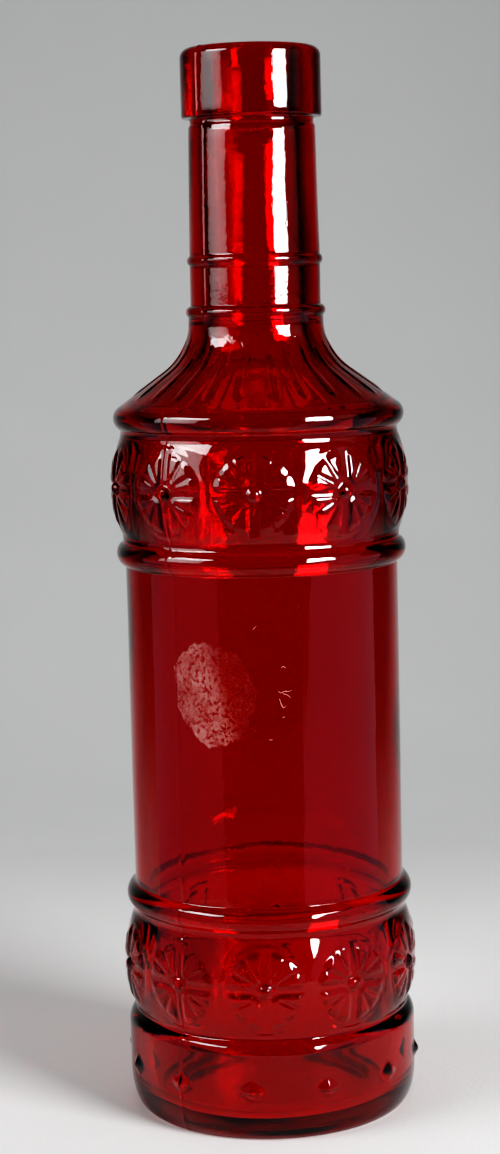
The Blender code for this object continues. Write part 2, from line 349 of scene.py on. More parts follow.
    def outside(self, relief: "Relief") -> list[Stretch]:
        """Outside of the glass, from the mouth's edge down to the centre of the base.

        Args:
            relief: the moulded decoration that the stretches carry.

        Returns:
            The stretches in order, each one starting where the last one ended.
        """
        lip = self.neck_radius + self.lip_rise
        recess = self.neck_radius - self.recess_depth
        run_out = self.lip_foot - self.recess_height - self.recess_slope
        low_bead = self.neck_foot + self.lower_bead
        high_bead = low_bead + self.bead_spacing
        soft = self.mouth_edge / 2
        clear = self.bead_clearance * self.bead_tube
        above = [
            Stretch("mouth_edge", arc((self.mouth_bore + self.mouth_edge,
                                       self.top - self.mouth_edge),
                                      self.mouth_edge, np.pi, np.pi / 2, 5)),
            Stretch("lip_edge", arc((lip - self.lip_edge, self.top - self.lip_edge),
                                    self.lip_edge, np.pi / 2, 0, 7), relief=relief.seam),
            Stretch("lip_wall", line((lip, self.top - self.lip_edge),
                                     (lip, self.lip_foot + soft), 7)[1:], relief=relief.seam),
            Stretch("lip_foot", arc((lip - soft, self.lip_foot + soft), soft,
                                    0, -np.pi / 2, 4)[1:], relief=relief.seam),
            Stretch("recess", np.vstack((
                arc((recess + soft, self.lip_foot - soft), soft, np.pi / 2, np.pi, 3),
                line((recess, self.lip_foot - self.recess_height),
                     (self.neck_radius - self.neck_draft, run_out), 3))), relief=relief.seam),
            Stretch("upper_neck", line((self.neck_radius - self.neck_draft, run_out),
                                       (self.neck_radius, high_bead + clear), 10)[1:],
                    relief=relief.seam),
            Stretch("upper_bead", self.bead(high_bead, self.neck_radius + self.bead_rise,
                                            self.bead_tube, self.neck_radius, self.neck_radius, 8),
                    relief=relief.seam),
            Stretch("lower_neck", line((self.neck_radius, high_bead - clear),
                                       (self.neck_radius, low_bead + clear), 5),
                    relief=relief.seam),
            Stretch("lower_bead", self.bead(low_bead, self.neck_foot_radius + self.bead_rise,
                                            self.bead_tube, self.neck_radius,
                                            self.neck_foot_radius, 8), relief=relief.seam),
        ]
        angle = self.cone_angle
        flare_end = (self.flare_centre[0] - self.flare_radius * np.cos(angle),
                     self.neck_foot - self.flare_radius * np.sin(angle))
        foot = (self.ring_radius - self.ring_tube * (1 - np.cos(self.cone_foot)),
                self.shoulder_ring + self.ring_tube * np.sin(self.cone_foot))
        ring = self.ring_radius - self.ring_tube
        ring_end = -np.arccos((self.groove_radius - ring) / self.ring_tube)
        middle = [
            Stretch("flare", arc(self.flare_centre, self.flare_radius,
                                 np.pi + self.flare_start, np.pi + angle, 12),
                    Columns.RELIEF, relief.shoulder),
            Stretch("cone", line(flare_end, foot, 14)[1:], Columns.RELIEF, relief.shoulder),
            Stretch("shoulder_ring", arc((ring, self.shoulder_ring), self.ring_tube,
                                         self.cone_foot, ring_end, 10)[1:], relief=relief.seam),
            Stretch("high_band", self.band(self.high_band, 52)[1:-1], Columns.RELIEF,
                    relief.high_band),
            Stretch("head_ring", self.bead(self.head_ring, self.ring_radius, self.ring_tube,
                                           self.groove_radius, self.panel_radius, 11),
                    relief=relief.seam),
            Stretch("panel", line((self.panel_radius, self.head_ring - self.ring_tube),
                                  (self.panel_radius, self.foot_ring + self.ring_tube), 12),
                    relief=relief.seam),
            Stretch("foot_ring", self.bead(self.foot_ring, self.ring_radius, self.ring_tube,
                                           self.panel_radius, self.groove_radius, 11),
                    relief=relief.seam),
            Stretch("low_band", self.band(self.low_band, 52)[1:-1], Columns.RELIEF,
                    relief.low_band),
        ]
        heel = self.heel_radius
        heel_centre = heel - self.heel_edge
        heel_start = np.arccos((self.groove_radius - heel_centre) / self.heel_edge)
        edge_z = self.heel_height - self.heel_groove - self.heel_edge * np.sin(heel_start)
        turn = np.linspace(0, np.pi / 2, 9)
        base_edge = np.column_stack((heel - self.base_edge_width * (1 - np.cos(turn)),
                                     self.base_edge_height * (1 - np.sin(turn))))
        bearing = heel - self.base_edge_width
        push_up = bearing - self.bearing_width
        below = [
            Stretch("heel_edge", arc((heel_centre, edge_z), self.heel_edge, heel_start, 0, 8),
                    relief=relief.seam),
            Stretch("heel", line((heel, edge_z - self.heel_blend),
                                 (heel, self.base_edge_height), 17),
                    Columns.RELIEF, relief.heel),
            Stretch("base_edge", base_edge[1:], relief=relief.seam),
            Stretch("bearing_ring", line((bearing, 0.0), (push_up, 0.0), 3)[1:]),
            Stretch("push_up", line((push_up - self.push_up_slope, self.push_up_depth),
                                    (0.0, self.push_up_depth), 5)),
        ]
        return above + middle + below


# ---------------------------------------------------------------- moulded relief
@dataclass(frozen=True)
class Seam:
    """Fine ridge down both sides, where the halves of the mould met.

    Attributes:
        angle: the first one's place around the body; the other is opposite.
        neck_angle: its place around the neck and the lip.
        rise: its height.
        half_width: distance from its crest at which it has sunk to 1/e of that.
    """

    angle: float = np.radians(-128.5)
    neck_angle: float = np.radians(-140.5)
    rise: float = 0.00012
    half_width: float = 0.00028

    def height(self, angle: Array, radius: Array) -> Array:
        """Ridge height: rise * exp(-(distance / half_width)^2), on two opposite lines.

        Args:
            angle: angle around the bottle, from the seam's own angle there.
            radius: radius that turns an angle into a distance.

        Returns:
            Height over the turned surface.
        """
        half_turn = (angle + np.pi / 2) % np.pi - np.pi / 2
        return self.rise * np.exp(-((half_turn * radius / self.half_width) ** 2))


@dataclass(frozen=True)
class Medallion:
    """Round flower: a cross of flat bars, a central boss and four ridged petals between them.

    Attributes:
        count: how many stand around a band.
        dish: how far the disc's middle lies below the band.
        rim_rise: how far it climbs back from there to its top and bottom.
        petal_fade: length over which a petal dies away towards the rim.
        groove_angles: directions of the grooves in a petal.
        groove_taper: a groove's share of its width at the petal's inner corner.
        groove_start: distances from that corner over which a groove deepens.
    """

    count: int = 10
    radius: float = 0.0109
    edge: float = 0.00045
    dish: float = 0.00012
    rim_rise: float = 0.00032
    boss_radius: float = 0.00165
    boss_rise: float = 0.00105
    bar_half_width: float = 0.00115
    bar_half_height: float = 0.00090
    petal_corner: float = 0.0024
    petal_rise: float = 0.00046
    petal_slope: float = 0.00050
    petal_reach: float = 0.0100
    petal_fade: float = 0.0022
    groove_depth: float = 0.00036
    groove_width: float = 0.00062
    groove_angles: tuple[float, ...] = (np.radians(27.0), np.radians(60.0))
    groove_taper: float = 0.55
    groove_start: tuple[float, float] = (0.0012, 0.0030)

    def height(self, u: Array, v: Array) -> Array:
        """Height of one medallion over the band, u around the bottle and v up it.

        The disc is flatter than the band: it lies dish below it in the middle and rises with
        v^2 to stand proud at its top and bottom. A petal fills each quadrant beyond the bars,
        with a rounded inner corner, and grooves cut it along rays from that corner.

        Args:
            u: distance around the bottle from the medallion's centre.
            v: distance up the bottle from its centre.

        Returns:
            Height over the band's own surface.
        """
        rho = np.hypot(u, v)
        inside = 1.0 - smooth(self.radius - self.edge, self.radius, rho)
        disc = -self.dish + self.rim_rise * (v / self.radius) ** 2
        p = np.abs(u) - self.bar_half_width
        q = np.abs(v) - self.bar_half_height
        corner = self.petal_corner
        rounded = corner - np.hypot(np.clip(corner - p, 0, None), np.clip(corner - q, 0, None))
        depth_in = np.where((p < corner) | (q < corner), np.minimum(rounded, np.minimum(p, q)),
                            np.minimum(p, q))
        petal = smooth(0.0, self.petal_slope, depth_in)
        petal *= 1.0 - smooth(self.petal_reach - self.petal_fade, self.petal_reach, rho)
        reach = np.hypot(p, q)
        ray = np.arctan2(np.clip(q, 0, None), np.clip(p, 1e-9, None))
        grooves = np.zeros_like(rho)
        for angle in self.groove_angles:
            off = np.abs(ray - angle) * reach
            width = self.groove_width * (self.groove_taper + reach / self.radius)
            grooves = np.maximum(grooves, 1.0 - np.clip(off / width, 0, 1))
        grooves *= smooth(*self.groove_start, reach)
        boss = self.boss_rise * np.sqrt(np.clip(1 - (rho / self.boss_radius) ** 2, 0, 1))
        flower = petal * (self.petal_rise - self.groove_depth * grooves)
        return inside * (disc + flower) + boss


@dataclass(frozen=True)
class Rib:
    """Round-ended ribs down the shoulder.

    Attributes:
        count: how many stand around the shoulder.
        half_angle: half a rib's width at its foot, seen from the axis.
        narrow: share of that width at its top.
        rise: its height.
        start: how far its top lies below the neck's foot.
        fade: length over which it rises out of the flare.
        foot: how far its lower end lies above the shoulder's ring.
        end_length: length of its rounded end.
    """

    count: int = 24
    half_angle: float = np.radians(2.3)
    rise: float = 0.00027
    start: float = 0.0024
    foot: float = 0.0054
    end_length: float = 0.0012
    fade: float = 0.0045
    narrow: float = 0.62

    def height(self, angle: Array, z: Array, top: float, bottom: float) -> Array:
        """Height of a rib: rise * sqrt(1 - across^2 - beyond^2), an elliptic section.

        Args:
            angle: angle from the rib's middle.
            z: height above the base.
            top: where the rib starts to rise from the flare.
            bottom: its lower end.

        Returns:
            Height over the shoulder.
        """
        width = self.narrow + (1.0 - self.narrow) * smooth(top, bottom, z)
        across = angle / (self.half_angle * width)
        beyond = np.clip((bottom + self.end_length - z) / self.end_length, 0, None)
        rising = smooth(top, top - self.fade, z)
        return self.rise * rising * np.sqrt(np.clip(1 - across**2 - beyond**2, 0, 1))


@dataclass(frozen=True)
class Stud:
    """Four-sided pointed studs around the heel.

    Attributes:
        count: how many there are.
        z: height of their points.
        half_width: half a stud's width.
        half_height: half its height up the heel.
        rise: how far its point stands out.
    """

    count: int = 12
    z: float = 0.0126
    half_width: float = 0.0037
    half_height: float = 0.0025
    rise: float = 0.00125

    def height(self, u: Array, v: Array) -> Array:
        """Height of one stud: rise * (1 - |u| / half width - |v| / half height), a pyramid."""
        slope = 1.0 - np.abs(u) / self.half_width - np.abs(v) / self.half_height
        return self.rise * np.clip(slope, 0, None)


@dataclass(frozen=True)
class Relief:
    """All moulded relief, as heights over the turned outline.

    Attributes:
        outline: the surface that it stands on.
        neck_turn: height over which the seam goes over to its place on the neck.
    """

    outline: Outline
    line_of_seam: Seam = Seam()
    medallion: Medallion = Medallion()
    rib: Rib = Rib()
    stud: Stud = Stud()
    neck_turn: float = 0.008

    def nearest(self, angle: Array, count: int) -> Array:
        """Angle from the nearest of count equal places that start at the seam."""
        pitch = TAU / count
        return (angle - self.line_of_seam.angle + pitch / 2) % pitch - pitch / 2

    def seam_angle(self, z: Array) -> Array:
        """Angle of the seam, which moves over by the cubic ease where the neck starts.

        Args:
            z: height above the base.

        Returns:
            The first seam's angle at that height, in radians.
        """
        seam = self.line_of_seam
        rise = smooth(self.outline.neck_foot - self.neck_turn, self.outline.neck_foot, z)
        return seam.angle + (seam.neck_angle - seam.angle) * rise

    def seam(self, angle: Array, z: Array) -> Array:
        """The seam alone, on every plain stretch."""
        radius = np.where(z > self.outline.neck_foot, self.outline.neck_radius,
                          self.outline.panel_radius)
        return self.line_of_seam.height(angle - self.seam_angle(z), radius)

    def band(self, angle: Array, z: Array, middle: float) -> Array:
        """One band's row of medallions, with the seam through them."""
        u = self.nearest(angle, self.medallion.count) * self.outline.band_radius
        return self.medallion.height(u, z - middle) + self.seam(angle, z)

    def high_band(self, angle: Array, z: Array) -> Array:
        """The upper row of medallions."""
        return self.band(angle, z, self.outline.high_band)

    def low_band(self, angle: Array, z: Array) -> Array:
        """The lower row of medallions."""
        return self.band(angle, z, self.outline.low_band)

    def shoulder(self, angle: Array, z: Array) -> Array:
        """Ribs down the shoulder's flare and cone.

        Args:
            angle: angle around the bottle.
            z: height above the base.

        Returns:
            Height over the shoulder.
        """
        top = self.outline.neck_foot - self.rib.start
        bottom = self.outline.shoulder_ring + self.rib.foot
        return self.rib.height(self.nearest(angle, self.rib.count), z, top, bottom)

    def heel(self, angle: Array, z: Array) -> Array:
        """Studs around the heel, and the seam."""
        u = self.nearest(angle, self.stud.count) * self.outline.heel_radius
        return self.stud.height(u, z - self.stud.z) + self.seam(angle, z)


# ---------------------------------------------------------------- mesh making
@dataclass
class MeshParts:
    """Vertices and faces of one closed surface, gathered stretch by stretch."""

    points: list[Array] = field(default_factory=list)
    quads: list[Array] = field(default_factory=list)
    triangles: list[Array] = field(default_factory=list)
    count: int = 0

    def add_points(self, points: Array) -> int:
        """Append vertices.

        Args:
            points: (n, 3) positions.

        Returns:
            The index of the first of them.
        """
        first = self.count
        self.points.append(points)
        self.count += len(points)
        return first

    def add_grid(self, first: int, rows: int, columns: int) -> None:
        """Quads between neighbouring rows of a grid that closes around the axis.

        Args:
            first: first vertex of the grid.
            rows: how many rows it has.
            columns: how many vertices each row has.
        """
        if rows < 2:
            return
        i = np.arange(rows - 1)[:, None] * columns
        j = np.arange(columns)[None, :]
        k = (j + 1) % columns
        corners = (i + j, i + columns + j, i + columns + k, i + k)
        self.quads.append(np.stack(corners, axis=-1).reshape(-1, 4) + first)

    def add_join(self, upper: int, lower: int, columns: int) -> None:
        """Quads between two rows that have the same columns.

        Args:
            upper: first vertex of the row that comes first along the outline.
            lower: first vertex of the next row.
            columns: how many vertices each row has.
        """
        j = np.arange(columns)
        k = (j + 1) % columns
        self.quads.append(np.column_stack((upper + j, lower + j, lower + k, upper + k)))

    def add_stitch(self, coarse: int, fine: int, columns: int, coarse_first: bool) -> None:
        """Faces between a coarse row and one with three columns to each of its own.

        Args:
            coarse: first vertex of the coarse row.
            fine: first vertex of the fine row.
            columns: columns of the coarse row.
            coarse_first: whether the coarse row comes first along the outline.
        """
        j = np.arange(columns)
        a = coarse + j
        b = coarse + (j + 1) % columns
        f = [fine + (3 * j + step) % (3 * columns) for step in range(4)]
        left = np.column_stack((a, f[0], f[1]))
        middle = np.column_stack((a, f[1], f[2], b))
        right = np.column_stack((b, f[2], f[3]))
        if not coarse_first:
            left, middle, right = left[:, ::-1], middle[:, ::-1], right[:, ::-1]
        self.triangles += [left, right]
        self.quads.append(middle)

    def add_pole(self, pole: int, ring: int, columns: int, pole_first: bool) -> None:
        """Triangles between a pole and the row beside it.

        Args:
            pole: the pole's vertex.
            ring: first vertex of the row.
            columns: how many vertices the row has.
            pole_first: whether the pole comes first along the outline.
        """
        j = np.arange(columns)
        k = (j + 1) % columns
        fan = np.column_stack((np.full(columns, pole), ring + j, ring + k))
        self.triangles.append(fan if pole_first else fan[:, ::-1])

    def mesh(self, name: str) -> bpy.types.Mesh:
        """The gathered surface as a smooth-shaded Blender mesh.

        Args:
            name: the mesh's name.

        Returns:
            The mesh.
        """
        made = bpy.data.meshes.new(name)
        faces: list[list[int]] = []
        for block in self.quads + self.triangles:
            faces += block.tolist()
        made.from_pydata(np.concatenate(self.points).tolist(), [], faces)
        made.validate()
        made.shade_smooth()
        return made


def place(name: str, mesh: bpy.types.Mesh, finish: bpy.types.Material) -> bpy.types.Object:
    """Object at the origin for a finished mesh, with its finish, in the scene.

    Args:
        name: the object's name.
        mesh: its mesh, with its place worked into its points.
        finish: its material.

    Returns:
        The object.
    """
    item = bpy.data.objects.new(name, mesh)
    item.data.materials.append(finish)
    bpy.context.scene.collection.objects.link(item)
    return item


# ---------------------------------------------------------------- finishes
@dataclass(frozen=True)
class Grain:
    """Noise pattern: features per metre, how many finer layers, and how strong those are."""

    scale: float
    detail: float = 2.0
    roughness: float = 0.5


class Nodes:
    """Short calls for wiring a material's or a world's node tree."""

    def __init__(self, tree: bpy.types.NodeTree) -> None:
        """Start from an empty tree."""
        self.tree = tree
        tree.nodes.clear()

    def add(self, kind: str, inputs: dict[str, object] | None = None,
            **settings: object) -> bpy.types.Node:
        """Add a node.

        Args:
            kind: Blender's node type.
            inputs: input values, or the sockets that feed them, by input name.
            **settings: the node's own properties.

        Returns:
            The new node.
        """
        node = self.tree.nodes.new(kind)
        for key, value in settings.items():
            setattr(node, key, value)
        for key, value in (inputs or {}).items():
            socket = node.inputs[int(key)] if key.isdigit() else node.inputs[key]
            if isinstance(value, bpy.types.NodeSocket):
                self.tree.links.new(value, socket)
            else:
                socket.default_value = value
        return node

    def ramp(self, factor: bpy.types.NodeSocket,
             stops: tuple[tuple[float, float], ...]) -> bpy.types.NodeSocket:
        """Grey colour ramp.

        Args:
            factor: what it reads.
            stops: (position, grey value) pairs.

        Returns:
            The ramp's colour socket.
        """
        node = self.add("ShaderNodeValToRGB", {"Fac": factor})
        elements = node.color_ramp.elements
        while len(elements) < len(stops):
            elements.new(0.5)
        for element, (position, value) in zip(elements, stops):
            element.position = position
            element.color = (value, value, value, 1.0)
        return node.outputs["Color"]

    def math(self, operation: str, *values: object) -> bpy.types.NodeSocket:
        """Add a Math node.

        Args:
            operation: Blender's name for it.
            *values: its numbers, or the sockets that feed them, in order.

        Returns:
            The socket of its result.
        """
        inputs = {str(place_in): value for place_in, value in enumerate(values)}
        return self.add("ShaderNodeMath", inputs, operation=operation).outputs[0]

    def noise(self, place_at: bpy.types.NodeSocket, grain: Grain) -> bpy.types.NodeSocket:
        """Noise pattern on the object's own coordinates.

        Args:
            place_at: the coordinates' socket.
            grain: the pattern.

        Returns:
            The socket of its value.
        """
        return self.add("ShaderNodeTexNoise", {
            "Vector": place_at, "Scale": grain.scale, "Detail": grain.detail,
            "Roughness": grain.roughness}).outputs["Fac"]

    def ease(self, value: bpy.types.NodeSocket, start: float, end: float, low: float,
             high: float) -> bpy.types.NodeSocket:
        """Smooth change of a value.

        Args:
            value: what it reads.
            start: where the change starts.
            end: where it ends.
            low: result at the start.
            high: result at the end.

        Returns:
            The socket of its result.
        """
        return self.add("ShaderNodeMapRange", {
            "Value": value, "From Min": start, "From Max": end, "To Min": low, "To Max": high},
            interpolation_type="SMOOTHSTEP").outputs["Result"]


def new_material(name: str) -> tuple[bpy.types.Material, Nodes]:
    """Empty node material and its node builder.

    Args:
        name: the material's name.

    Returns:
        The material and the builder for its nodes.
    """
    material = bpy.data.materials.new(name)
    material.use_nodes = True
    return material, Nodes(material.node_tree)


@dataclass(frozen=True)
class RubyGlass:
    """Clear ruby glass: a polished, slightly rippled skin over a red absorbing body.

    Attributes:
        ior: its index of refraction.
        tint: what going in and out through the skin once multiplies light by.
        passes: colour that the body lets through.
        density: how strongly the body absorbs, per metre.
        ripple: the skin's waves.
        grain: finer pits over them.
        grain_share: height of the pits beside the waves.
        ripple_depth: height of the waves at full strength.
        calm_below: height below which the skin is calm.
        neck_from: height above which it ripples at full strength.
        calm_strength: share of the ripple that is left where it is calm.
        smudge: pattern of handling marks.
        polish: (pattern value, roughness) pairs, from clean to smudged.
    """

    ior: float = 1.52
    tint: tuple[float, float, float] = (0.70, 0.014, 0.022)
    passes: tuple[float, float, float] = (0.92, 0.10, 0.20)
    density: float = 250.0
    ripple: Grain = Grain(110.0, 5.0, 0.68)
    grain: Grain = Grain(520.0)
    grain_share: float = 0.12
    ripple_depth: float = 0.00013
    calm_below: float = 0.175
    neck_from: float = 0.19
    calm_strength: float = 0.3
    smudge: Grain = Grain(45.0, 5.0, 0.6)
    polish: tuple[tuple[float, float], ...] = ((0.45, 0.005), (0.75, 0.06))

    def material(self) -> bpy.types.Material:
        """Principled transmission with rippled normals, smudged roughness and a red volume.

        Returns:
            The material.
        """
        material, nodes = new_material("ruby_glass")
        place_at = nodes.add("ShaderNodeTexCoord").outputs["Object"]
        height = nodes.math("MULTIPLY_ADD", nodes.noise(place_at, self.grain),
                            self.grain_share, nodes.noise(place_at, self.ripple))
        axes = nodes.add("ShaderNodeSeparateXYZ", {"Vector": place_at})
        strength = nodes.add("ShaderNodeMapRange", {
            "Value": axes.outputs["Z"], "From Min": self.calm_below, "From Max": self.neck_from,
            "To Min": self.calm_strength, "To Max": 1.0})
        bump = nodes.add("ShaderNodeBump", {"Height": height, "Strength": strength.outputs[0],
                                            "Distance": self.ripple_depth})
        rough = nodes.ramp(nodes.noise(place_at, self.smudge), self.polish)
        shader = nodes.add("ShaderNodeBsdfPrincipled", {
            "Base Color": (*self.tint, 1.0), "Roughness": rough, "IOR": self.ior,
            "Transmission Weight": 1.0, "Normal": bump.outputs["Normal"]})
        body = nodes.add("ShaderNodeVolumeAbsorption", {"Color": (*self.passes, 1.0),
                                                        "Density": self.density})
        nodes.add("ShaderNodeOutputMaterial", {"Surface": shader.outputs["BSDF"],
                                               "Volume": body.outputs["Volume"]})
        return material


@dataclass(frozen=True)
class DriedGum:
    """Milky dried label gum, speckled with bare spots and thinner on its right.

    Attributes:
        name: the material's name.
        cover: how much of the glass it hides where it is thin, middling and thick.
        thin: its colour where it is thin.
        thick: its colour where it is thick.
        bare: pattern values between which a bare speck opens.
        bare_cover: share of the cover that is left in a bare speck.
        edge: where the film thins out: x plus its slant and waver, in metres.
        edge_cover: share of the cover that is left beyond there.
        slant: how far that place moves sideways for each metre of height.
        waver: how far the cloudy pattern moves it.
        cloud: the cloudy pattern.
        cloud_stops: its values where the film is thin, middling and thick.
        speck: the pattern of the bare specks.
    """

    name: str = "dried_gum"
    cover: tuple[float, float, float] = (0.04, 0.11, 0.20)
    thin: tuple[float, float, float] = (0.60, 0.24, 0.21)
    thick: tuple[float, float, float] = (0.74, 0.42, 0.39)
    bare: tuple[float, float] = (0.53, 0.58)
    bare_cover: float = 0.1
    edge: tuple[float, float] = (0.0215, 0.0265)
    edge_cover: float = 0.15
    slant: float = 0.27
    waver: float = 0.011
    cloud: Grain = Grain(240.0, 6.0, 0.7)
    cloud_stops: tuple[float, float, float] = (0.30, 0.50, 0.70)
    speck: Grain = Grain(1300.0)
    roughness: float = 0.7
    specular: float = 0.25
    bump_strength: float = 0.5
    bump_depth: float = 0.00008

    def material(self) -> bpy.types.Material:
        """Half-clear Principled film whose cover is broken by noise and small bare specks.

        Returns:
            The material.
        """
        material, nodes = new_material(self.name)
        place_at = nodes.add("ShaderNodeTexCoord").outputs["Object"]
        cloud = nodes.noise(place_at, self.cloud)
        cover = nodes.ramp(cloud, tuple(zip(self.cloud_stops, self.cover)))
        bare = nodes.ramp(nodes.noise(place_at, self.speck),
                          ((self.bare[0], 1.0), (self.bare[1], self.bare_cover)))
        axes = nodes.add("ShaderNodeSeparateXYZ", {"Vector": place_at})
        slant = nodes.math("MULTIPLY_ADD", axes.outputs["Z"], self.slant, axes.outputs["X"])
        wavy = nodes.math("MULTIPLY_ADD", cloud, self.waver, slant)
        left = nodes.ease(wavy, *self.edge, 1.0, self.edge_cover)
        alpha = nodes.math("MULTIPLY", nodes.math("MULTIPLY", cover, bare), left)
        tint = nodes.add("ShaderNodeMix", {"0": cloud, "6": (*self.thin, 1.0),
                                           "7": (*self.thick, 1.0)}, data_type="RGBA")
        bump = nodes.add("ShaderNodeBump", {"Height": cloud, "Strength": self.bump_strength,
                                            "Distance": self.bump_depth})
        shader = nodes.add("ShaderNodeBsdfPrincipled", {
            "Base Color": tint.outputs["Result"], "Roughness": self.roughness,
            "Specular IOR Level": self.specular, "Alpha": alpha,
            "Normal": bump.outputs["Normal"]})
        nodes.add("ShaderNodeOutputMaterial", {"Surface": shader.outputs["BSDF"]})
        return material


@dataclass(frozen=True)
class PaleCloth:
    """Matt pale studio sweep, seen from its lit side only; its wall is painted darker as painted
    shade, with a painted pool of light on it.

    Attributes:
        colour: the floor's grey.
        wall_colour: the wall's grey, darker than the floor's: painted shade.
        glow: how brightly the middle of the painted pool of light shines by itself.
        pool_half_width: half the pool's width.
        pool_start: y where the floor starts to turn into the wall's colour.
        pool_full: y where it has turned.
        far: distances over which the far floor's painted fill light fades in.
        far_glow: how bright that painted light is.
        under: radii over which the painted glowing spot under the glass fades out.
        under_glow: how brightly that painted spot glows.
        floor_level: height below which the cloth counts as floor.
    """

    colour: float = 0.48
    wall_colour: float = 0.20
    glow: float = 0.21
    pool_half_width: float = 0.62
    pool_start: float = 0.05
    pool_full: float = 0.34
    far: tuple[float, float] = (0.38, 0.95)
    far_glow: float = 0.50
    under: tuple[float, float] = (0.029, 0.0335)
    under_glow: float = 0.44
    floor_level: float = 0.001
    mottle: Grain = Grain(14.0, 6.0)
    mottle_stops: tuple[float, float] = (0.35, 0.65)
    mottle_shade: float = 0.96
    weave: Grain = Grain(900.0)
    weave_strength: float = 0.15
    weave_depth: float = 0.0004
    roughness: float = 0.95
    specular: float = 0.1
    glow_colour: tuple[float, float, float] = (0.97, 1.0, 0.99)

    def wall_glow(self, nodes: Nodes, axes: bpy.types.Node) -> bpy.types.NodeSocket:
        """Painted pool of light on the wall, an emission: glow * exp(-(x / half width)^2), fading
        in behind.

        Args:
            nodes: the material's node builder.
            axes: the separated coordinates.

        Returns:
            The socket of its brightness.
        """
        across = nodes.math("DIVIDE", axes.outputs["X"], self.pool_half_width)
        bell = nodes.math("EXPONENT", nodes.math(
            "MULTIPLY", nodes.math("MULTIPLY", across, across), -1.0))
        depth = nodes.ease(axes.outputs["Y"], self.pool_start, self.pool_full, 0.0, self.glow)
        return nodes.math("MULTIPLY", bell, depth)

    def floor_fill(self, nodes: Nodes, axes: bpy.types.Node) -> bpy.types.NodeSocket:
        """Painted light: emission that fills the far floor and makes a glowing spot under the
        glass.

        Only what is looked at directly, or through the glass down to the floor, is filled.

        Args:
            nodes: the material's node builder.
            axes: the separated coordinates.

        Returns:
            The socket of its brightness.
        """
        front = nodes.math("MINIMUM", axes.outputs["Y"], 0.0)
        ground = nodes.add("ShaderNodeCombineXYZ", {"X": axes.outputs["X"], "Y": front})
        around = nodes.add("ShaderNodeCombineXYZ", {"X": axes.outputs["X"],
                                                    "Y": axes.outputs["Y"]})
        reach, spot = (nodes.add("ShaderNodeVectorMath", {"0": flat.outputs[0]},
                                 operation="LENGTH").outputs["Value"]
                       for flat in (ground, around))
        # painted light: the far floor glows so that it stays pale where the lamps fall off
        far = nodes.ease(reach, *self.far, 0.0, self.far_glow)
        # painted light: a glowing spot on the floor under the glass, a painted caustic
        under = nodes.add("ShaderNodeMapRange", {
            "Value": spot, "From Min": self.under[0], "From Max": self.under[1],
            "To Min": self.under_glow, "To Max": 0.0}).outputs["Result"]
        on_floor = nodes.math("LESS_THAN", axes.outputs["Z"], self.floor_level)
        path = nodes.add("ShaderNodeLightPath")
        through = nodes.math("MULTIPLY", path.outputs["Is Transmission Ray"], on_floor)
        seen = nodes.math("MAXIMUM", path.outputs["Is Camera Ray"], through)
        return nodes.math("MULTIPLY", nodes.math("ADD", far, under), seen)

    def material(self) -> bpy.types.Material:
        """Diffuse pale grey with a faint mottle and a weave, painted shade towards the wall and a
        painted glow; the back of the sheet is clear.

        Returns:
            The material.
        """
        material, nodes = new_material("pale_cloth")
        place_at = nodes.add("ShaderNodeTexCoord").outputs["Object"]
        axes = nodes.add("ShaderNodeSeparateXYZ", {"Vector": place_at})
        shade = nodes.ramp(nodes.noise(place_at, self.mottle), tuple(zip(
            self.mottle_stops, (self.colour * self.mottle_shade, self.colour))))
        # painted shade: the cloth's colour turns darker from the floor towards the wall
        painted_wall_shade = nodes.ease(axes.outputs["Y"], self.pool_start, self.pool_full,
                            1.0, self.wall_colour / self.colour)
        bump = nodes.add("ShaderNodeBump", {
            "Height": nodes.noise(place_at, self.weave), "Strength": self.weave_strength,
            "Distance": self.weave_depth})
        # painted light: the cloth's own emission on the far floor, under the glass and on the wall
        glow = nodes.math("ADD", self.floor_fill(nodes, axes), self.wall_glow(nodes, axes))
        cloth = nodes.add("ShaderNodeBsdfPrincipled", {
            "Base Color": nodes.math("MULTIPLY", shade, painted_wall_shade), "Roughness": self.roughness,
            "Specular IOR Level": self.specular,
            "Emission Color": (*self.glow_colour, 1.0), "Emission Strength": glow,
            "Normal": bump.outputs["Normal"]})
        clear = nodes.add("ShaderNodeBsdfTransparent")
        side = nodes.add("ShaderNodeNewGeometry")
        mix = nodes.add("ShaderNodeMixShader", {"0": side.outputs["Backfacing"],
                                                "1": cloth.outputs["BSDF"],
                                                "2": clear.outputs["BSDF"]})
        nodes.add("ShaderNodeOutputMaterial", {"Surface": mix.outputs["Shader"]})
        return material


@dataclass(frozen=True)
class StudioCard:
    """Black card, or one that glows by itself as painted light, not a lamp.

    Attributes:
        glow: how bright its painted glow is.
        black: the grey of its own surface.
        glow_colour: colour of its light, a little blue.
    """

    glow: float
    black: float = 0.002
    glow_colour: tuple[float, float, float] = (0.88, 0.90, 1.05)

    def material(self) -> bpy.types.Material:
        """Rough near-black that may glow a little as painted light.

        Returns:
            The material.
        """
        material, nodes = new_material("studio_card")
        shader = nodes.add("ShaderNodeBsdfPrincipled", {
            "Base Color": (self.black, self.black, self.black, 1.0), "Roughness": 1.0,
            "Specular IOR Level": 0.0, "Emission Color": (*self.glow_colour, 1.0),
            "Emission Strength": self.glow})
        nodes.add("ShaderNodeOutputMaterial", {"Surface": shader.outputs["BSDF"]})
        return material


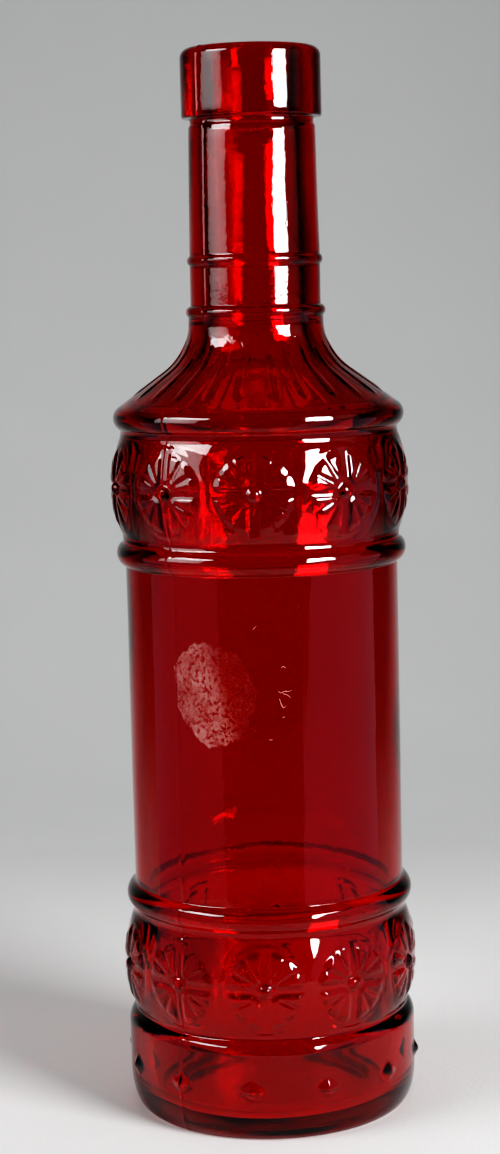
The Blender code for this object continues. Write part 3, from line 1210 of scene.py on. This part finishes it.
# ---------------------------------------------------------------- the glass
@dataclass
class BottleGlass:
    """The bottle: one closed shell of ruby glass with all its moulded relief.

    Attributes:
        outline: the turned outline.
        relief: what stands on it.
        finish: the glass itself.
        seam_squeeze: width of the columns beside a seam, as a share of the others.
        squeezed: how many plain columns on each side of a seam are that narrow.
        wall_waves: slow waves of the inside of blown glass.
        neck_waves: shorter waves, in the neck only.
        skin_waves: slow waves of the outer skin.
        wall_depth: height of the wall waves in the body.
        neck_depth: how much higher they are in the neck.
        short_depth: height of the short waves.
        skin_depth: height of the skin waves.
        neck_blend: height on each side of the neck's foot over which they change.
        calm_radius: radius inside which the floor and the base are calm.
        calm_edge: height over which the waves die out at the base and at the mouth.
    """

    outline: Outline
    relief: Relief
    finish: RubyGlass = RubyGlass()
    seam_squeeze: float = 0.35
    squeezed: int = 2
    wall_waves: tuple[Wave, ...] = (Wave(2, 0.7, 55.0), Wave(3, 2.1, -90.0, 0.7),
                                    Wave(5, -0.9, 140.0, 0.4))
    neck_waves: tuple[Wave, ...] = (Wave(4, 0.0, 310.0), Wave(3, 1.0, -520.0),
                                    Wave(6, 0.0, 900.0, 0.6))
    skin_waves: tuple[Wave, ...] = (Wave(4, 1.3, 120.0), Wave(7, 0.0, -210.0))
    wall_depth: float = 0.00010
    neck_depth: float = 0.00006
    short_depth: float = 0.00003
    skin_depth: float = 0.000018
    neck_blend: float = 0.01
    calm_radius: float = 0.012
    calm_edge: float = 0.004

    def angles(self, columns: Columns, z: Array) -> Array:
        """Column angles, closer together beside the seams so that the seam stays fine.

        Args:
            columns: how many columns.
            z: column of row heights, because the columns follow the seam's turn.

        Returns:
            Increasing angles over one turn, a row for each height. Relief columns split each
            plain column in three.
        """
        plain = Columns.PLAIN.value
        step = np.ones(plain)
        for start in (0, plain // 2):
            near = (np.arange(-self.squeezed, self.squeezed) + start) % plain
            step[near] = self.seam_squeeze
        edges = np.concatenate(([0.0], np.cumsum(step)))
        edges *= TAU / edges[-1]
        split = columns.value // plain
        places = np.arange(columns.value) / split
        return np.interp(places, np.arange(plain + 1), edges) + self.relief.seam_angle(z)

    def inner_ripple(self, angle: Array, z: Array) -> Array:
        """Uneven inside of blown glass: sums of waves, higher and shorter in the neck.

        Args:
            angle: angle around the bottle.
            z: height above the base.

        Returns:
            Height over the turned surface.
        """
        neck_foot = self.outline.neck_foot
        narrow = smooth(neck_foot - self.neck_blend, neck_foot + self.neck_blend, z)
        waves = sum(wave.height(angle, z) for wave in self.wall_waves)
        short = sum(wave.height(angle, z) for wave in self.neck_waves)
        return (waves * (self.wall_depth + self.neck_depth * narrow)
                + short * narrow * self.short_depth)

    def outer_ripple(self, angle: Array, z: Array) -> Array:
        """Slow waves of the outer skin, a few hundredths of a millimetre high."""
        return self.skin_depth * sum(wave.height(angle, z) for wave in self.skin_waves)

    def calm(self, r: Array, z: Array) -> Array:
        """Share of the waves that is left: none at the poles, the base and the mouth."""
        edge = self.calm_edge
        return (smooth(0.0, self.calm_radius, r) * smooth(0.0, edge, z)
                * smooth(0.0, edge, self.outline.top - z))

    def build(self) -> bpy.types.Object:
        """Make the shell stretch by stretch, join the stretches and close both poles.

        A point is the outline's point moved along the outline's outward normal by the waves
        and the relief there, and turned about the axis by its column's angle.

        Returns:
            The finished glass, at the origin.
        """
        inside = self.outline.inside()
        outside = self.outline.outside(self.relief)
        stretches = inside + outside
        path = np.vstack([s.points for s in stretches])
        tangent = np.gradient(path, axis=0)
        tangent /= np.linalg.norm(tangent, axis=1)[:, None]
        normal = np.column_stack((-tangent[:, 1], tangent[:, 0]))
        parts = MeshParts()
        floor_pole = parts.add_points(np.array([[0.0, 0.0, path[0, 1]]]))
        base_pole = parts.add_points(np.array([[0.0, 0.0, path[-1, 1]]]))
        start = 0
        before: tuple[int, Columns] | None = None
        for number, stretch in enumerate(stretches):
            rows = np.arange(start, start + len(stretch.points))
            start += len(stretch.points)
            rows = rows[path[rows, 0] > 0]
            r = path[rows, 0][:, None]
            z = path[rows, 1][:, None]
            angle = self.angles(stretch.columns, z)
            is_inner = number < len(inside)
            ripple = self.inner_ripple if is_inner else self.outer_ripple
            height = ripple(angle, z) * self.calm(r, z)
            if stretch.relief:
                height = height + stretch.relief(angle, z)
            out_r = r + normal[rows, 0][:, None] * height
            out_z = z + normal[rows, 1][:, None] * height
            grid = np.stack((out_r * np.cos(angle), out_r * np.sin(angle), out_z), axis=-1)
            columns = stretch.columns.value
            first = parts.add_points(grid.reshape(-1, 3))
            parts.add_grid(first, len(rows), columns)
            if before is None:
                parts.add_pole(floor_pole, first, columns, True)
            elif before[1] is stretch.columns:
                parts.add_join(before[0], first, columns)
            elif stretch.columns is Columns.RELIEF:
                parts.add_stitch(before[0], first, Columns.PLAIN.value, True)
            else:
                parts.add_stitch(first, before[0], Columns.PLAIN.value, False)
            before = (first + (len(rows) - 1) * columns, stretch.columns)
        parts.add_pole(base_pole, before[0], before[1].value, False)
        glass = place("ruby_glass_shell", parts.mesh("ruby_glass_shell"), self.finish.material())
        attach(glass, "root")
        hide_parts("bottle_glass")
        return glass


@dataclass
class GumPatch:
    """Oval film of dried label gum with a ragged edge, lying on the front of the panel.

    Attributes:
        angle: its middle's place around the bottle.
        z: its middle's height.
        clearance: gap between the panel and the film.
        thickness: the film's own, in its middle.
        lean: how far it leans over, sideways for each metre of height.
        ragged: waves of its edge, as shares of its radius.
        thinning: power of the distance from the middle with which it thins.
        rings: rows of points from the middle to the edge.
        spokes: points around each.
    """

    outline: Outline
    finish: DriedGum = DriedGum()
    angle: float = np.radians(-111.6)
    z: float = 0.1074
    half_width: float = 0.0102
    half_height: float = 0.0122
    clearance: float = 0.00008
    thickness: float = 0.00006
    lean: float = 0.10
    ragged: tuple[Wave, ...] = (Wave(3, 0.5, share=0.035), Wave(7, 1.9, share=0.03),
                                Wave(17, share=0.018), Wave(31, 0.8, share=0.014))
    thinning: int = 8
    rings: int = 24
    spokes: int = 160

    def build(self) -> bpy.types.Object:
        """Film between two skins, each a polar grid bent around the panel.

        The edge is an ellipse whose radius varies with a few sines, and the film thins
        towards it with 1 - t^thinning, t being the distance as a share of that radius.

        Returns:
            The finished film.
        """
        t = np.linspace(0, 1, self.rings + 1)[1:][:, None]
        a = np.linspace(0, TAU, self.spokes, endpoint=False)[None, :]
        ragged = sum((wave.share * np.sin(wave.turns * a + wave.phase) for wave in self.ragged),
                     start=1.0)
        v = t * self.half_height * ragged * np.sin(a)
        u = t * self.half_width * ragged * np.cos(a) - self.lean * v
        base = self.outline.panel_radius + self.clearance
        lift = self.thickness * (1 - t**self.thinning) + 0 * a
        parts = MeshParts()
        skins = []
        for radius in (base + lift, np.full_like(lift, base)):
            angle = self.angle + u / self.outline.panel_radius
            grid = np.stack((radius * np.cos(angle), radius * np.sin(angle), self.z + v), axis=-1)
            skins.append(grid)
        centre = np.array([np.cos(self.angle), np.sin(self.angle), 0.0])
        top_pole = parts.add_points((centre * (base + self.thickness) + [0, 0, self.z])[None])
        low_pole = parts.add_points((centre * base + [0, 0, self.z])[None])
        top = parts.add_points(skins[0][:-1].reshape(-1, 3))
        rim = parts.add_points(skins[1][-1].reshape(-1, 3))
        low = parts.add_points(skins[1][:-1][::-1].reshape(-1, 3))
        parts.add_pole(top_pole, top, self.spokes, True)
        parts.add_grid(top, self.rings - 1, self.spokes)
        parts.add_join(top + (self.rings - 2) * self.spokes, rim, self.spokes)
        parts.add_join(rim, low, self.spokes)
        parts.add_grid(low, self.rings - 1, self.spokes)
        parts.add_pole(low_pole, low + (self.rings - 2) * self.spokes, self.spokes, False)
        film = place("dried_gum_film", parts.mesh("dried_gum_film"), self.finish.material())
        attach(film, "root")
        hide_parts("label_residue")
        return film


@dataclass
class GlueTraces:
    """Thin squiggles and specks of dried glue left on the panel beside the gum patch.

    Attributes:
        angle: place around the bottle that the squiggles are given from.
        z: height that they are given from.
        strokes: middle lines of the squiggles, (across, up) in millimetres from there.
        finish: the dried glue, thicker and less specked than the film.
        half_width: half a squiggle's width.
        thickness: half its height.
        clearance: gap between the panel and the traces.
        specks: number of loose specks around the panel.
        speck_length: length of the longest speck.
        speck_share: the shortest and the longest, as shares of that.
        speck_slimness: half a speck's width as a share of half its length.
        rows: sections along a stroke.
        sides: points around each section.
        seed: seed of the specks' places.
    """

    outline: Outline
    finish: DriedGum = DriedGum("dried_glue", (0.10, 0.20, 0.34), bare=(0.70, 0.80),
                                edge_cover=1.0)
    angle: float = np.radians(-82.5)
    z: float = 0.1066
    strokes: tuple[tuple[tuple[float, float], ...], ...] = (
        ((-1.4, 1.7), (-0.7, 1.1), (0.2, 1.5), (1.3, 1.4), (2.1, 1.7)),
        ((-0.3, 1.0), (0.9, 0.6), (1.8, -0.2)),
        ((-1.0, 0.0), (-0.7, -1.2), (-0.1, -2.5), (0.6, -1.9)),
        ((-0.5, 6.9), (0.1, 7.4), (0.8, 6.8)),
        ((-0.4, -4.8), (0.2, -4.4)),
        ((-6.9, 16.0), (-5.8, 17.1)),
        ((-3.6, -9.8), (-2.6, -9.9)),
    )
    half_width: float = 0.00011
    thickness: float = 0.00005
    clearance: float = 0.00009
    specks: int = 46
    speck_length: float = 0.00035
    speck_share: tuple[float, float] = (0.3, 1.0)
    speck_slimness: float = 0.35
    rows: int = 16
    sides: int = 8
    seed: int = 7

    def stroke(self, parts: MeshParts, points: Array, width: float) -> None:
        """Add one closed stroke: a flat oval section carried along a smooth middle line.

        The middle line runs through the points and is softened by averaging each of its own
        points with its neighbours as (1, 2, 1) / 4. The section shrinks to both ends with
        sqrt(1 - t^2).

        Args:
            parts: the mesh being gathered.
            points: (across, up) rows in metres on the unrolled panel.
            width: half the stroke's width.
        """
        t = np.linspace(-1, 1, self.rows + 2)[1:-1]
        along = (t + 1) / 2 * (len(points) - 1)
        middle = np.column_stack([np.interp(along, np.arange(len(points)), points[:, k])
                                  for k in (0, 1)])
        averaged = (middle[:-2] + 2 * middle[1:-1] + middle[2:]) / 4
        soft = np.vstack((middle[:1], averaged, middle[-1:]))
        direction = np.gradient(soft, axis=0)
        direction /= np.linalg.norm(direction, axis=1)[:, None]
        a = np.linspace(0, TAU, self.sides, endpoint=False)[None, :]
        size = np.sqrt(1 - t**2)[:, None]
        across = size * width * np.cos(a)
        rise = size * self.thickness * np.sin(a)
        u = soft[:, :1] + direction[:, 1:] * across
        v = soft[:, 1:] - direction[:, :1] * across
        first = parts.add_points(self.wrap(u, v, rise).reshape(-1, 3))
        parts.add_grid(first, self.rows, self.sides)
        ends = self.wrap(points[[0, -1], :1], points[[0, -1], 1:], np.zeros((2, 1)))
        start = parts.add_points(ends[0])
        finish = parts.add_points(ends[1])
        parts.add_pole(start, first, self.sides, True)
        parts.add_pole(finish, first + (self.rows - 1) * self.sides, self.sides, False)

    def wrap(self, u: Array, v: Array, rise: Array) -> Array:
        """Points of the unrolled panel bent around the bottle.

        Args:
            u: distance around the panel.
            v: distance up it.
            rise: height over the middle of a stroke's section.

        Returns:
            Positions, with x, y and z along the last axis.
        """
        radius = self.outline.panel_radius + self.clearance + self.thickness + rise
        angle = self.angle + u / self.outline.panel_radius
        return np.stack((radius * np.cos(angle), radius * np.sin(angle), self.z + v), axis=-1)

    def build(self) -> bpy.types.Object:
        """All strokes and the scattered specks as one object.

        Returns:
            The finished traces.
        """
        parts = MeshParts()
        for points in self.strokes:
            self.stroke(parts, np.array(points) * MILLIMETRE, self.half_width)
        rng = np.random.default_rng(self.seed)
        low = self.outline.foot_ring + 2 * self.outline.ring_tube - self.z
        high = self.outline.head_ring - 2 * self.outline.ring_tube - self.z
        for _ in range(self.specks):
            at = np.array([rng.uniform(-np.pi, np.pi) * self.outline.panel_radius,
                           rng.uniform(low, high)])
            heading = rng.uniform(0, np.pi)
            half = self.speck_length * rng.uniform(*self.speck_share) / 2
            reach = half * np.array([np.cos(heading), np.sin(heading)])
            points = np.vstack((at - reach, at, at + reach))
            self.stroke(parts, points, half * self.speck_slimness)
        traces = place("glue_traces", parts.mesh("glue_traces"), self.finish.material())
        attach(traces, "root")
        return traces


# ---------------------------------------------------------------- the studio
@dataclass(frozen=True)
class Softbox:
    """Plain rectangular light that faces the bottle.

    Attributes:
        name: its name.
        azimuth: degrees to the right of the camera's side of the bottle.
        distance: from the bottle's axis.
        height: of its centre.
        width: across.
        tall: its height as a panel.
        power: watts.
        aim: height on the bottle's axis that it faces.
        mirrored: whether it shows in reflections.
        spread: how wide its light fans out.
    """

    name: str
    azimuth: float
    distance: float
    height: float
    width: float
    tall: float
    power: float
    aim: float = 0.12
    mirrored: bool = True
    spread: float = np.radians(180.0)

    def build(self) -> None:
        """Add the light, turned towards the bottle's axis at the aim height."""
        a = np.radians(self.azimuth)
        place_at = np.array([np.sin(a) * self.distance, -np.cos(a) * self.distance, self.height])
        back = place_at - np.array([0.0, 0.0, self.aim])
        back /= np.linalg.norm(back)
        side = np.cross([0.0, 0.0, 1.0], back)
        side /= np.linalg.norm(side)
        up = np.cross(back, side)
        data = bpy.data.lights.new(self.name, "AREA")
        data.shape = "RECTANGLE"
        data.size = self.width
        data.size_y = self.tall
        data.energy = self.power
        data.spread = self.spread
        light = bpy.data.objects.new(self.name, data)
        light.visible_camera = False
        light.visible_glossy = self.mirrored
        light.matrix_world = Matrix((
            (side[0], up[0], back[0], place_at[0]), (side[1], up[1], back[1], place_at[1]),
            (side[2], up[2], back[2], place_at[2]), (0, 0, 0, 1)))
        bpy.context.scene.collection.objects.link(light)


@dataclass(frozen=True)
class Flag:
    """Upright curved card around the front that only mirror reflections meet: a painted
    reflection.

    Attributes:
        name: its name.
        low: azimuths of its ends at the floor, degrees to the right.
        high: azimuths of its ends at its top.
        top: its height.
        glow: how bright its painted glow is.
        distance: from the bottle's axis.
        steps: points along it.
        foot: height of its lower edge.
    """

    name: str
    low: tuple[float, float]
    high: tuple[float, float]
    top: float
    glow: float
    distance: float = 0.22
    steps: int = 16
    foot: float = 0.001

    def build(self) -> None:
        """Add the card: a strip of a cylinder whose ends lean as they rise."""
        ends = np.radians(np.array([self.low, self.high]))
        a = ends[:, :1] + (ends[:, 1:] - ends[:, :1]) * np.linspace(0, 1, self.steps)[None, :]
        z = np.array([[self.foot], [self.top]]) + 0 * a
        grid = np.stack((self.distance * np.sin(a), -self.distance * np.cos(a), z), axis=-1)
        j = np.arange(self.steps - 1)
        quads = np.column_stack((j + 1, j, j + self.steps, j + 1 + self.steps))
        mesh = bpy.data.meshes.new(self.name)
        mesh.from_pydata(grid.reshape(-1, 3).tolist(), [], quads.tolist())
        card = place(self.name, mesh, StudioCard(self.glow).material())
        # painted reflection: the card is hidden from the camera, soft light, transmission and
        # shadows
        card.visible_camera = False
        card.visible_diffuse = False
        card.visible_transmission = False
        card.visible_shadow = False


@dataclass(frozen=True)
class Studio:
    """Pale sweep, soft lights, plain world and the camera.

    Attributes:
        distance: from the camera to the bottle's axis.
        eye_height: the camera's height.
        pitch: how far it looks down.
        yaw: how far it looks to the right.
        roll: how far it leans clockwise.
        lens: its focal length, in millimetres.
        sensor: width of its sensor, in millimetres.
        near: nearest distance that it shows.
        sweep_start: y where the backdrop starts to curve up.
        sweep_radius: radius of that curve.
        sweep_top: height of the backdrop.
        sweep_side: half the width of the floor and the backdrop.
        sweep_columns: points across them.
        floor_gap: how far the floor lies below the bottle's base.
        flags: the cards that paint dark and glowing reflections.
        tone: (in, out) points of the display's curve.
        sky: colour of the surroundings.
        sky_soft: their brightness in mirror reflections and as soft light.
        sky_seen: their brightness seen directly or through the glass.
        softboxes: the lights.
    """

    distance: float = 0.56288
    eye_height: float = 0.20260
    pitch: float = np.radians(7.273)
    yaw: float = np.radians(-0.299)
    roll: float = np.radians(1.374)
    lens: float = 72.366
    sensor: float = 36.0
    near: float = 0.01
    sweep_start: float = 0.26
    sweep_radius: float = 0.35
    sweep_top: float = 1.4
    sweep_side: float = 3.5
    sweep_columns: int = 41
    floor_gap: float = 0.0002
    flags: tuple[Flag, ...] = (
        # painted reflections: a black card for the dark front, and glowing screens for pale cloth
        # at the sides
        Flag("dark_flag", (-33.0, 27.0), (-42.0, 48.0), 0.60, 0.0, 0.214),
        Flag("left_screen", (-100.0, -30.0), (-100.0, -38.0), 0.165, 0.58),
        Flag("right_screen", (24.0, 100.0), (44.0, 100.0), 0.165, 0.75),
    )
    tone: tuple[tuple[float, float], ...] = ((0.0, 0.0), (0.045, 0.009), (0.15, 0.115),
                                             (0.35, 0.36), (1.0, 1.0))
    sky: tuple[float, float, float] = (0.96, 0.98, 1.0)
    sky_soft: float = 0.03
    sky_seen: float = 0.42
    softboxes: tuple[Softbox, ...] = (
        Softbox("left_softbox", -68.0, 0.80, 0.37, 0.60, 0.40, 0.62, spread=NARROW),
        Softbox("left_upper", -61.0, 0.80, 0.67, 0.56, 0.20, 0.9, spread=NARROW),
        Softbox("right_softbox", 46.0, 0.80, 0.36, 0.38, 0.38, 3.9, spread=NARROW),
        Softbox("right_wing", 72.0, 0.80, 0.37, 0.40, 0.40, 0.06, spread=NARROW),
        Softbox("top_softbox", 180.0, 0.10, 0.85, 0.45, 0.45, 2.2, 0.0, False),
    )

    def camera(self) -> None:
        """Camera in front of the bottle, looking slightly down, with its own small roll."""
        right = np.array([np.cos(self.yaw), -np.sin(self.yaw), 0.0])
        ahead = np.array([np.sin(self.yaw) * np.cos(self.pitch),
                          np.cos(self.yaw) * np.cos(self.pitch), -np.sin(self.pitch)])
        up = np.cross(right, ahead)
        turn_right = right * np.cos(self.roll) - up * np.sin(self.roll)
        turn_up = right * np.sin(self.roll) + up * np.cos(self.roll)
        data = bpy.data.cameras.new("camera")
        data.lens = self.lens
        data.sensor_width = self.sensor
        data.clip_start = self.near
        camera = bpy.data.objects.new("camera", data)
        matrix = Matrix.Identity(4)
        for column, axis in enumerate((turn_right, turn_up, -ahead)):
            for row in range(3):
                matrix[row][column] = axis[row]
        matrix.translation = (0.0, -self.distance, self.eye_height)
        camera.matrix_world = matrix
        bpy.context.scene.collection.objects.link(camera)
        bpy.context.scene.camera = camera

    def sheet(self, name: str, profile: Array, cloth: bpy.types.Material) -> None:
        """One sheet of cloth: a (y, z) profile drawn out along X.

        Args:
            name: the sheet's name.
            profile: (y, z) rows, front to back.
            cloth: its material.
        """
        x = np.linspace(-self.sweep_side, self.sweep_side, self.sweep_columns)
        shape = (len(profile), len(x))
        grid = np.stack((np.broadcast_to(x[None, :], shape),
                         np.broadcast_to(profile[:, :1], shape),
                         np.broadcast_to(profile[:, 1:], shape)), axis=-1)
        rows, columns = shape
        i = np.arange(rows - 1)[:, None] * columns
        j = np.arange(columns - 1)[None, :]
        quads = np.stack((i + j, i + j + 1, i + columns + j + 1, i + columns + j), axis=-1)
        mesh = bpy.data.meshes.new(name)
        mesh.from_pydata(grid.reshape(-1, 3).tolist(), [], quads.reshape(-1, 4).tolist())
        mesh.shade_smooth()
        place(name, mesh, cloth)

    def sweep(self) -> None:
        """Level floor all round, and a backdrop that curves up from it behind the bottle."""
        cloth = PaleCloth().material()
        floor = line((-self.sweep_side, 0.0), (self.sweep_side, 0.0), self.sweep_columns)
        bend = arc((self.sweep_start, self.sweep_radius), self.sweep_radius, -np.pi / 2, 0, 24)
        wall = line((self.sweep_start + self.sweep_radius, self.sweep_radius),
                    (self.sweep_start + self.sweep_radius, self.sweep_top), 8)
        self.sheet("pale_floor", floor - [0.0, self.floor_gap], cloth)
        backdrop = np.vstack((bend, wall[1:])) - [0.0, self.floor_gap / 2]
        self.sheet("pale_backdrop", backdrop, cloth)

    def tone_curve(self) -> None:
        """Plain display colours with a little more contrast in the darks."""
        view = bpy.context.scene.view_settings
        view.view_transform = "Standard"
        view.use_curve_mapping = True
        curve = view.curve_mapping.curves[COMBINED_CURVE]
        for place_in, value in self.tone[1:-1]:
            curve.points.new(place_in, value)
        view.curve_mapping.update()

    def world(self) -> None:
        """Even pale surroundings, dimmer in mirror reflections and as soft light."""
        world = bpy.data.worlds.new("studio")
        world.use_nodes = True
        nodes = Nodes(world.node_tree)
        path = nodes.add("ShaderNodeLightPath")
        seen = nodes.math("MAXIMUM", path.outputs["Is Camera Ray"],
                          path.outputs["Is Transmission Ray"])
        strength = nodes.add("ShaderNodeMapRange", {"Value": seen, "To Min": self.sky_soft,
                                                    "To Max": self.sky_seen})
        sky = nodes.add("ShaderNodeBackground", {"Color": (*self.sky, 1.0),
                                                 "Strength": strength.outputs["Result"]})
        nodes.add("ShaderNodeOutputWorld", {"Surface": sky.outputs["Background"]})
        bpy.context.scene.world = world

    def build(self) -> None:
        """Everything around the bottle."""
        self.camera()
        self.sweep()
        for flag in self.flags:
            flag.build()
        self.world()
        self.tone_curve()
        for softbox in self.softboxes:
            softbox.build()


def main() -> None:
    """Build the glass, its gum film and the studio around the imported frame."""
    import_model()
    outline = Outline(top=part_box("bottle_glass")[1][2])
    relief = Relief(outline)
    pieces = (BottleGlass(outline, relief), GumPatch(outline), GlueTraces(outline))
    for piece in pieces:
        made = piece.build()
        LOG.info("%s: %d faces", made.name, len(made.data.polygons))
    Studio().build()


if __name__ == "__main__":
    logging.basicConfig(level=logging.INFO)
    main()
